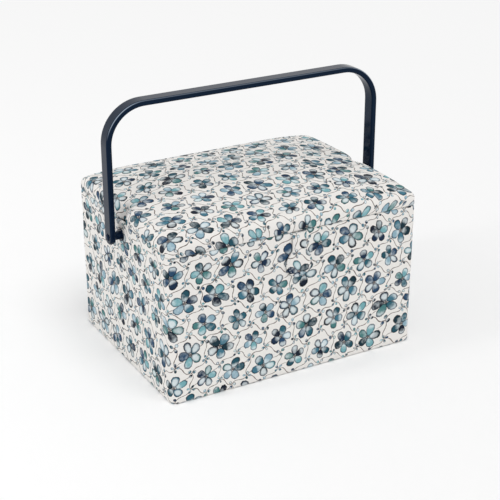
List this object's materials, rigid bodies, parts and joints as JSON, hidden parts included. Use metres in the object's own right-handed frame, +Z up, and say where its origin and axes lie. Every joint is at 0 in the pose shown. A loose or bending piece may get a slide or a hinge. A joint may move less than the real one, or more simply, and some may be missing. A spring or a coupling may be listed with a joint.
{
  "type": "sewing box",
  "caption": "Rectangular cloth-covered sewing box with a padded hinged lid, a magnetic closing tab, a swinging U-shaped carry handle and a lift-out compartment tray.",
  "frame": {"origin": "under the middle of the base, on the surface the box stands on", "axes": "+X across the front from left to right, +Y from the front to the hinge, +Z up"},
  "size_m": [0.3454, 0.2391, 0.3055],
  "materials": {
    "printed_cloth": "woven printed cotton",
    "lining_cloth": "plain woven lining",
    "board": "pressed fibreboard",
    "wadding": "polyester wadding",
    "navy_plastic": "glossy moulding",
    "tray_plastic": "satin moulding",
    "magnet_steel": "plated disc",
    "cushion_cloth": "plain woven cotton",
    "elastic": "ribbed elastic"
  },
  "bodies": {
    "box": {"base_cover": "printed_cloth", "base_board": "board", "base_lining": "lining_cloth", "side_cover": "printed_cloth", "front_board": "board", "back_board": "board", "left_board": "board", "right_board": "board", "front_lining": "lining_cloth", "back_lining": "lining_cloth", "left_lining": "lining_cloth", "right_lining": "lining_cloth", "left_tray_rest": "lining_cloth", "right_tray_rest": "lining_cloth", "left_pivot_boss": "navy_plastic", "right_pivot_boss": "navy_plastic", "left_pivot_stud": "navy_plastic", "right_pivot_stud": "navy_plastic", "left_stud_washer": "navy_plastic", "right_stud_washer": "navy_plastic", "box_magnet": "magnet_steel", "hinge_cloth": "printed_cloth"},
    "handle": {"handle": "navy_plastic"},
    "lid": {"lid_board": "board", "lid_padding": "wadding", "lid_cover": "printed_cloth", "lid_lining": "lining_cloth", "lid_pocket": "lining_cloth", "pocket_elastic": "elastic", "pincushion": "cushion_cloth"},
    "tab": {"tab_front_cloth": "printed_cloth", "tab_interlining": "wadding", "tab_magnet": "magnet_steel", "tab_back_cloth": "printed_cloth"},
    "tray": {"tray": "tray_plastic"}
  },
  "joints": [
    {"name": "lid_hinge", "type": "hinge", "parent": "box", "child": "lid", "pos_m": [0, 0.11795, 0.1702], "axis": [-1, 0, 0], "range_deg": [0, 92], "deforming": ["hinge_cloth"]},
    {"name": "handle_swing", "type": "hinge", "parent": "box", "child": "handle", "pos_m": [0, 0, 0.155], "axis": [-1, 0, 0], "range_deg": [0, 115.2]},
    {"name": "tab_flex", "type": "hinge", "parent": "lid", "child": "tab", "pos_m": [0, -0.1176, 0.1702], "axis": [-1, 0, 0], "range_deg": [0, 80]},
    {"name": "tray_lift", "type": "slide", "parent": "box", "child": "tray", "axis": [0, 0, 1], "range_m": [0, 0.013]}
  ],
  "couplings": [
    {"joint": "handle_swing", "follows": "lid_hinge", "ratio": 1.25}
  ]
}
